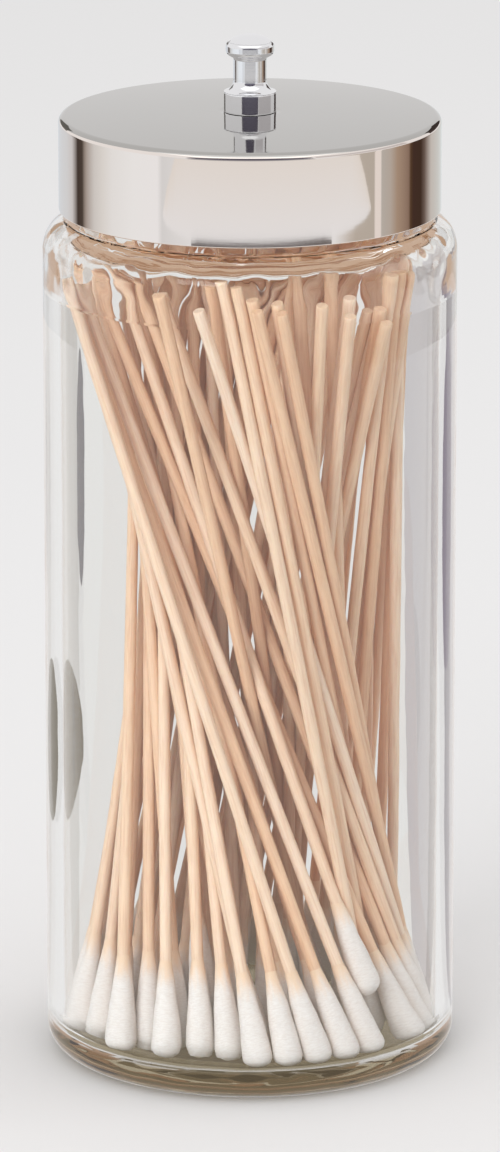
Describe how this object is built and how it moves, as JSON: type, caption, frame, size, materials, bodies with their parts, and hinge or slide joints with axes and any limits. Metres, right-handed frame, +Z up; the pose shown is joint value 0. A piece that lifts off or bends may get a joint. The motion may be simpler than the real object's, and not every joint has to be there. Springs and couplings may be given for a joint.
{
  "type": "sundry jar",
  "caption": "Tall clear glass sundry jar with a slip-on polished steel lid and turned knob, filled with wooden cotton-tipped applicators.",
  "frame": {"origin": "centre of the jar's base, on the surface it stands on", "axes": "+Z up through the knob, +X right and -Y towards the viewer of the picture"},
  "size_m": [0.0762, 0.0762, 0.1928],
  "materials": {
    "clear_glass": "clear pressed glass, glossy, olive through its thick foot",
    "polished_steel": "stainless sheet, satin on top and mirror-polished on the skirt",
    "turned_aluminium": "turned and polished",
    "plain_steel": "plain stainless steel",
    "birch_wood": "bare pale birch, fine grain along the stick",
    "wound_cotton": "white wound cotton, matt and slightly fuzzy"
  },
  "bodies": {
    "jar": {"applicator_sticks_01": "birch_wood", "applicator_sticks_02": "birch_wood", "applicator_sticks_03": "birch_wood", "applicator_sticks_04": "birch_wood", "applicator_sticks_05": "birch_wood", "applicator_sticks_06": "birch_wood", "applicator_sticks_07": "birch_wood", "applicator_sticks_08": "birch_wood", "applicator_sticks_09": "birch_wood", "applicator_sticks_10": "birch_wood", "applicator_sticks_11": "birch_wood", "applicator_sticks_12": "birch_wood", "applicator_sticks_13": "birch_wood", "applicator_sticks_14": "birch_wood", "applicator_sticks_15": "birch_wood", "applicator_sticks_16": "birch_wood", "applicator_sticks_17": "birch_wood", "applicator_sticks_18": "birch_wood", "applicator_sticks_19": "birch_wood", "applicator_sticks_20": "birch_wood", "applicator_sticks_21": "birch_wood", "applicator_sticks_22": "birch_wood", "applicator_sticks_23": "birch_wood", "applicator_sticks_24": "birch_wood", "applicator_sticks_25": "birch_wood", "applicator_sticks_26": "birch_wood", "applicator_sticks_27": "birch_wood", "applicator_tips_01": "wound_cotton", "applicator_tips_02": "wound_cotton", "applicator_tips_03": "wound_cotton", "applicator_tips_04": "wound_cotton", "applicator_tips_05": "wound_cotton", "applicator_tips_06": "wound_cotton", "applicator_tips_07": "wound_cotton", "applicator_tips_08": "wound_cotton", "applicator_tips_09": "wound_cotton", "applicator_tips_10": "wound_cotton", "applicator_tips_11": "wound_cotton", "applicator_tips_12": "wound_cotton", "applicator_tips_13": "wound_cotton", "applicator_tips_14": "wound_cotton", "applicator_tips_15": "wound_cotton", "applicator_tips_16": "wound_cotton", "applicator_tips_17": "wound_cotton", "applicator_tips_18": "wound_cotton", "applicator_tips_19": "wound_cotton", "applicator_tips_20": "wound_cotton", "applicator_tips_21": "wound_cotton", "applicator_tips_22": "wound_cotton", "applicator_tips_23": "wound_cotton", "applicator_tips_24": "wound_cotton", "applicator_tips_25": "wound_cotton", "applicator_tips_26": "wound_cotton", "applicator_tips_27": "wound_cotton", "jar": "clear_glass"},
    "lid": {"lid": "polished_steel", "knob": "turned_aluminium", "knob_screw": "plain_steel", "knob_washer": "plain_steel"}
  },
  "joints": [
    {"name": "lid_lift", "type": "slide", "parent": "jar", "child": "lid", "axis": [0, 0, 1], "range_m": [0, 0.04]}
  ]
}
